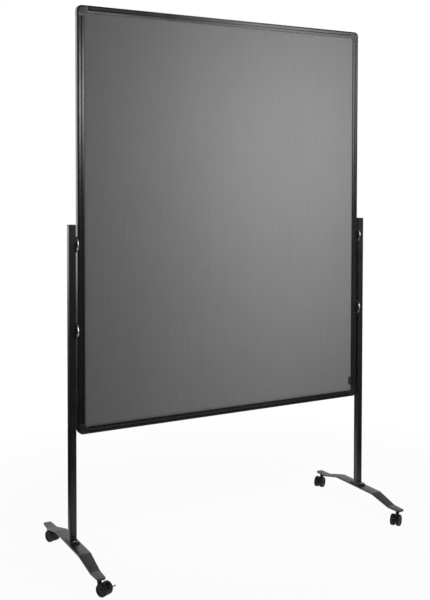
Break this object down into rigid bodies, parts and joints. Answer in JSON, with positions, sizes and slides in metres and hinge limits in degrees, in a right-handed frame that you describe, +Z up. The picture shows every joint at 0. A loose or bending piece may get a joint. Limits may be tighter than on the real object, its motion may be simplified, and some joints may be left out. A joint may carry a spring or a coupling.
{
  "type": "mobile pin board",
  "caption": "Mobile presentation pin board: grey fabric panel in a black frame, held between square posts by silver hand wheels, on bent flat-bar feet with twin-wheel castors.",
  "frame": {"origin": "on the floor, under the middle of the board, between the two posts", "axes": "+Z up, -Y out of the board's front face, +X to the right seen from the front"},
  "size_m": [1.283, 0.6143, 1.959],
  "materials": {
    "fabric": "matte woven",
    "core": "soft fibreboard",
    "frame": "black satin coating",
    "plastic": "fine moulded grain",
    "steel": "black semi-gloss powder coat",
    "clamp": "turned satin",
    "zinc": "bright zinc",
    "wheel": "matte black nylon"
  },
  "bodies": {
    "stand": {"foot_bar_left": "steel", "post_flange_left": "steel", "post_left": "steel", "post_cap_left": "plastic", "flange_screw_front_left": "zinc", "castor_stem_front_left": "zinc", "flange_screw_rear_left": "zinc", "castor_stem_rear_left": "zinc", "foot_bar_right": "steel", "post_flange_right": "steel", "post_right": "steel", "post_cap_right": "plastic", "flange_screw_front_right": "zinc", "castor_stem_front_right": "zinc", "flange_screw_rear_right": "zinc", "castor_stem_rear_right": "zinc"},
    "board": {"core_panel": "core", "fabric_front": "fabric", "fabric_back": "fabric", "stile_left": "frame", "stile_right": "frame", "rail_top": "frame", "rail_bottom": "frame", "corner_top_left": "plastic", "corner_top_right": "plastic", "corner_bottom_left": "plastic", "corner_bottom_right": "plastic", "edge_tab": "plastic", "clamp_stud_upper_left": "zinc", "slide_nut_upper_left": "zinc", "clamp_stud_upper_right": "zinc", "slide_nut_upper_right": "zinc", "clamp_stud_lower_left": "zinc", "slide_nut_lower_left": "zinc", "clamp_stud_lower_right": "zinc", "slide_nut_lower_right": "zinc"},
    "clamp_wheel_upper_left": {"clamp_wheel_upper_left": "clamp"},
    "clamp_wheel_upper_right": {"clamp_wheel_upper_right": "clamp"},
    "clamp_wheel_lower_left": {"clamp_wheel_lower_left": "clamp"},
    "clamp_wheel_lower_right": {"clamp_wheel_lower_right": "clamp"},
    "castor_front_left": {"castor_housing_front_left": "plastic", "castor_axle_front_left": "zinc"},
    "castor_wheel_a_front_left": {"castor_wheel_a_front_left": "wheel"},
    "castor_wheel_b_front_left": {"castor_wheel_b_front_left": "wheel"},
    "brake_lever_front_left": {"brake_lever_front_left": "plastic"},
    "castor_front_right": {"castor_housing_front_right": "plastic", "castor_axle_front_right": "zinc"},
    "castor_wheel_a_front_right": {"castor_wheel_a_front_right": "wheel"},
    "castor_wheel_b_front_right": {"castor_wheel_b_front_right": "wheel"},
    "brake_lever_front_right": {"brake_lever_front_right": "plastic"},
    "castor_rear_left": {"castor_housing_rear_left": "plastic", "castor_axle_rear_left": "zinc"},
    "castor_wheel_a_rear_left": {"castor_wheel_a_rear_left": "wheel"},
    "castor_wheel_b_rear_left": {"castor_wheel_b_rear_left": "wheel"},
    "castor_rear_right": {"castor_housing_rear_right": "plastic", "castor_axle_rear_right": "zinc"},
    "castor_wheel_a_rear_right": {"castor_wheel_a_rear_right": "wheel"},
    "castor_wheel_b_rear_right": {"castor_wheel_b_rear_right": "wheel"}
  },
  "joints": [
    {"name": "board_height", "type": "slide", "parent": "stand", "child": "board", "axis": [0, 0, 1], "range_m": [-0.3, 0]},
    {"name": "clamp_turn_upper_left", "type": "hinge", "parent": "board", "child": "clamp_wheel_upper_left", "pos_m": [-0.6035, 0, 1.128], "axis": [1, 0, 0], "range_deg": [0, 360]},
    {"name": "clamp_turn_upper_right", "type": "hinge", "parent": "board", "child": "clamp_wheel_upper_right", "pos_m": [0.6035, 0, 1.128], "axis": [-1, 0, 0], "range_deg": [0, 360]},
    {"name": "clamp_turn_lower_left", "type": "hinge", "parent": "board", "child": "clamp_wheel_lower_left", "pos_m": [-0.6035, 0, 0.828], "axis": [1, 0, 0], "range_deg": [0, 360]},
    {"name": "clamp_turn_lower_right", "type": "hinge", "parent": "board", "child": "clamp_wheel_lower_right", "pos_m": [0.6035, 0, 0.828], "axis": [-1, 0, 0], "range_deg": [0, 360]},
    {"name": "castor_swivel_front_left", "type": "hinge", "parent": "stand", "child": "castor_front_left", "pos_m": [-0.6195, -0.265, 0.05], "axis": [0, 0, 1], "continuous": true},
    {"name": "castor_roll_a_front_left", "type": "hinge", "parent": "castor_front_left", "child": "castor_wheel_a_front_left", "pos_m": [-0.60974, -0.28416, 0.022], "axis": [0.891, 0.454, 0], "continuous": true},
    {"name": "castor_roll_b_front_left", "type": "hinge", "parent": "castor_front_left", "child": "castor_wheel_b_front_left", "pos_m": [-0.60974, -0.28416, 0.022], "axis": [0.891, 0.454, 0], "continuous": true},
    {"name": "brake_press_front_left", "type": "hinge", "parent": "castor_front_left", "child": "brake_lever_front_left", "pos_m": [-0.60452, -0.2944, 0.0335], "axis": [0.891, 0.454, 0], "range_deg": [0, 18]},
    {"name": "castor_swivel_front_right", "type": "hinge", "parent": "stand", "child": "castor_front_right", "pos_m": [0.6195, -0.265, 0.05], "axis": [0, 0, 1], "continuous": true},
    {"name": "castor_roll_a_front_right", "type": "hinge", "parent": "castor_front_right", "child": "castor_wheel_a_front_right", "pos_m": [0.60168, -0.27702, 0.022], "axis": [0.5592, -0.829, 0], "continuous": true},
    {"name": "castor_roll_b_front_right", "type": "hinge", "parent": "castor_front_right", "child": "castor_wheel_b_front_right", "pos_m": [0.60168, -0.27702, 0.022], "axis": [0.5592, -0.829, 0], "continuous": true},
    {"name": "brake_press_front_right", "type": "hinge", "parent": "castor_front_right", "child": "brake_lever_front_right", "pos_m": [0.59214, -0.28345, 0.0335], "axis": [0.5592, -0.829, 0], "range_deg": [0, 18]},
    {"name": "castor_swivel_rear_left", "type": "hinge", "parent": "stand", "child": "castor_rear_left", "pos_m": [-0.6195, 0.265, 0.05], "axis": [0, 0, 1], "continuous": true},
    {"name": "castor_roll_a_rear_left", "type": "hinge", "parent": "castor_rear_left", "child": "castor_wheel_a_rear_left", "pos_m": [-0.6125, 0.24467, 0.022], "axis": [0.9455, 0.3256, 0], "continuous": true},
    {"name": "castor_roll_b_rear_left", "type": "hinge", "parent": "castor_rear_left", "child": "castor_wheel_b_rear_left", "pos_m": [-0.6125, 0.24467, 0.022], "axis": [0.9455, 0.3256, 0], "continuous": true},
    {"name": "castor_swivel_rear_right", "type": "hinge", "parent": "stand", "child": "castor_rear_right", "pos_m": [0.6195, 0.265, 0.05], "axis": [0, 0, 1], "continuous": true},
    {"name": "castor_roll_a_rear_right", "type": "hinge", "parent": "castor_rear_right", "child": "castor_wheel_a_rear_right", "pos_m": [0.60127, 0.25361, 0.022], "axis": [0.5299, -0.848, 0], "continuous": true},
    {"name": "castor_roll_b_rear_right", "type": "hinge", "parent": "castor_rear_right", "child": "castor_wheel_b_rear_right", "pos_m": [0.60127, 0.25361, 0.022], "axis": [0.5299, -0.848, 0], "continuous": true}
  ]
}
